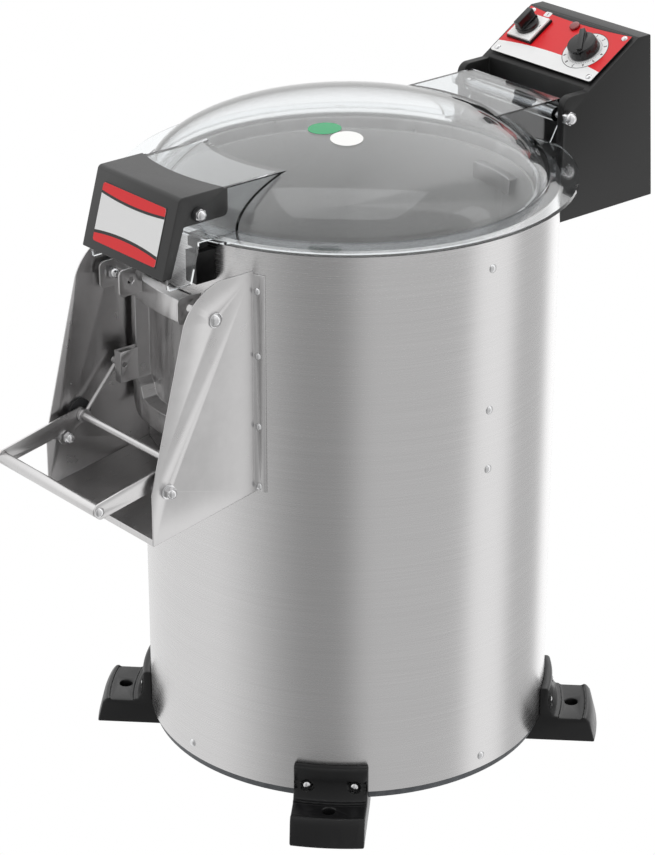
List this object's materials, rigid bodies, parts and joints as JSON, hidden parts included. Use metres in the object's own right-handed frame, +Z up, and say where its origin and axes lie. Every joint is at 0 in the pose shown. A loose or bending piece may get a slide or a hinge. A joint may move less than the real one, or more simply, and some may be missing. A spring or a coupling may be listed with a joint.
{
  "type": "electric potato peeler",
  "caption": "Floor-standing electric potato peeler: steel drum with abrasive disc, clear hinged lid, lever-worked outlet door and a control box with switch and timer.",
  "frame": {"origin": "on the drum's axis at floor level", "axes": "+Z up; the outlet chute and lever face -Y; the control box and lid hinge are on the +Y side; +X is the right side seen from the front"},
  "size_m": [0.608, 0.9768, 0.9605],
  "materials": {
    "stainless": "brushed satin",
    "fasteners": "bright",
    "dark_sheet": "satin",
    "abrasive": "rough abrasive coat",
    "moulded_black": "matte",
    "knob_black": "satin",
    "painted_black": "fine powder coat",
    "printed_face": "printed red, white and black",
    "white_plastic": "gloss",
    "red_lens": "translucent",
    "clear_plastic": "clear polycarbonate",
    "rubber": "matte",
    "bearing_steel": "turned",
    "cast_parts": "cast and turned",
    "cast_disc": "cast",
    "motor_paint": "painted",
    "drain_plastic": "matte"
  },
  "bodies": {
    "frame": {"casing": "stainless", "base_plate": "dark_sheet", "foot_front_left": "moulded_black", "foot_front_right": "moulded_black", "foot_rear_left": "moulded_black", "foot_rear_right": "moulded_black", "casing_screws": "fasteners", "inner_drum": "stainless", "abrasive_lining": "abrasive", "chamber_floor": "stainless", "rim_gasket": "rubber", "bearing_housing": "cast_parts", "bearings": "bearing_steel", "shaft_seal": "rubber", "drive_belt": "rubber", "motor_plate": "dark_sheet", "motor_housing": "motor_paint", "drain_pipe": "drain_plastic", "water_pipe": "stainless", "cable_gland": "moulded_black", "left_chute_plate": "stainless", "right_chute_plate": "stainless", "chute_tray": "stainless", "chute_bumper": "rubber", "pivot_bolts": "fasteners", "acorn_nuts": "fasteners", "lid_hinge_rod": "fasteners", "lid_switch": "moulded_black", "control_box": "painted_black", "box_rear_cover": "painted_black", "box_bracket": "dark_sheet", "box_screws": "fasteners", "face_plate": "printed_face", "switch_plate": "white_plastic", "switch_body": "moulded_black", "timer_body": "moulded_black", "pilot_lamp": "red_lens", "contactor": "moulded_black"},
    "disc_rotor": {"main_shaft": "bearing_steel", "abrasive_disc": "cast_disc", "disc_grit": "abrasive", "hub_nut": "bearing_steel", "driven_pulley": "cast_parts"},
    "armature": {"motor_rotor": "bearing_steel", "motor_pulley": "cast_parts"},
    "lid": {"lid": "clear_plastic", "front_cap": "painted_black", "badge_plate": "printed_face", "cap_bolts": "fasteners", "lid_magnet": "moulded_black"},
    "lever": {"lever_frame": "stainless", "lever_grip": "stainless", "grip_screws": "fasteners"},
    "link": {"link_rod": "stainless"},
    "door": {"door_leaf": "stainless", "door_seal": "rubber", "door_brackets": "stainless", "door_lug": "stainless"},
    "switch": {"switch_knob": "knob_black"},
    "timer": {"timer_knob": "knob_black"}
  },
  "joints": [
    {"name": "lid_hinge", "type": "hinge", "parent": "frame", "child": "lid", "pos_m": [0, 0.296, 0.863], "axis": [-1, 0, 0], "range_deg": [0, 95]},
    {"name": "lever_hinge", "type": "hinge", "parent": "frame", "child": "lever", "pos_m": [0, -0.397, 0.521], "axis": [1, 0, 0], "range_deg": [0, 62]},
    {"name": "link_swing", "type": "hinge", "parent": "lever", "child": "link", "pos_m": [-0.0975, -0.372, 0.546], "axis": [-1, 0, 0], "range_deg": [0, 67.58]},
    {"name": "door_hinge", "type": "hinge", "parent": "frame", "child": "door", "pos_m": [0, -0.317, 0.733], "axis": [-1, 0, 0], "range_deg": [0, 14]},
    {"name": "disc_spin", "type": "hinge", "parent": "frame", "child": "disc_rotor", "pos_m": [0, 0, 0.5], "axis": [0, 0, 1], "continuous": true},
    {"name": "motor_spin", "type": "hinge", "parent": "frame", "child": "armature", "pos_m": [0, 0.18, 0.35], "axis": [0, 0, 1], "continuous": true},
    {"name": "switch_turn", "type": "hinge", "parent": "frame", "child": "switch", "pos_m": [-0.066, 0.38535, 0.93621], "axis": [0, 0.518, -0.8554], "range_deg": [0, 60]},
    {"name": "timer_turn", "type": "hinge", "parent": "frame", "child": "timer", "pos_m": [0.049, 0.38022, 0.9331], "axis": [0, 0.518, -0.8554], "range_deg": [0, 300]}
  ],
  "couplings": [
    {"joint": "link_swing", "follows": "lever_hinge", "ratio": 1.09},
    {"joint": "door_hinge", "follows": "lever_hinge", "ratio": 0.22581},
    {"joint": "motor_spin", "follows": "disc_spin", "ratio": 3.5874}
  ]
}
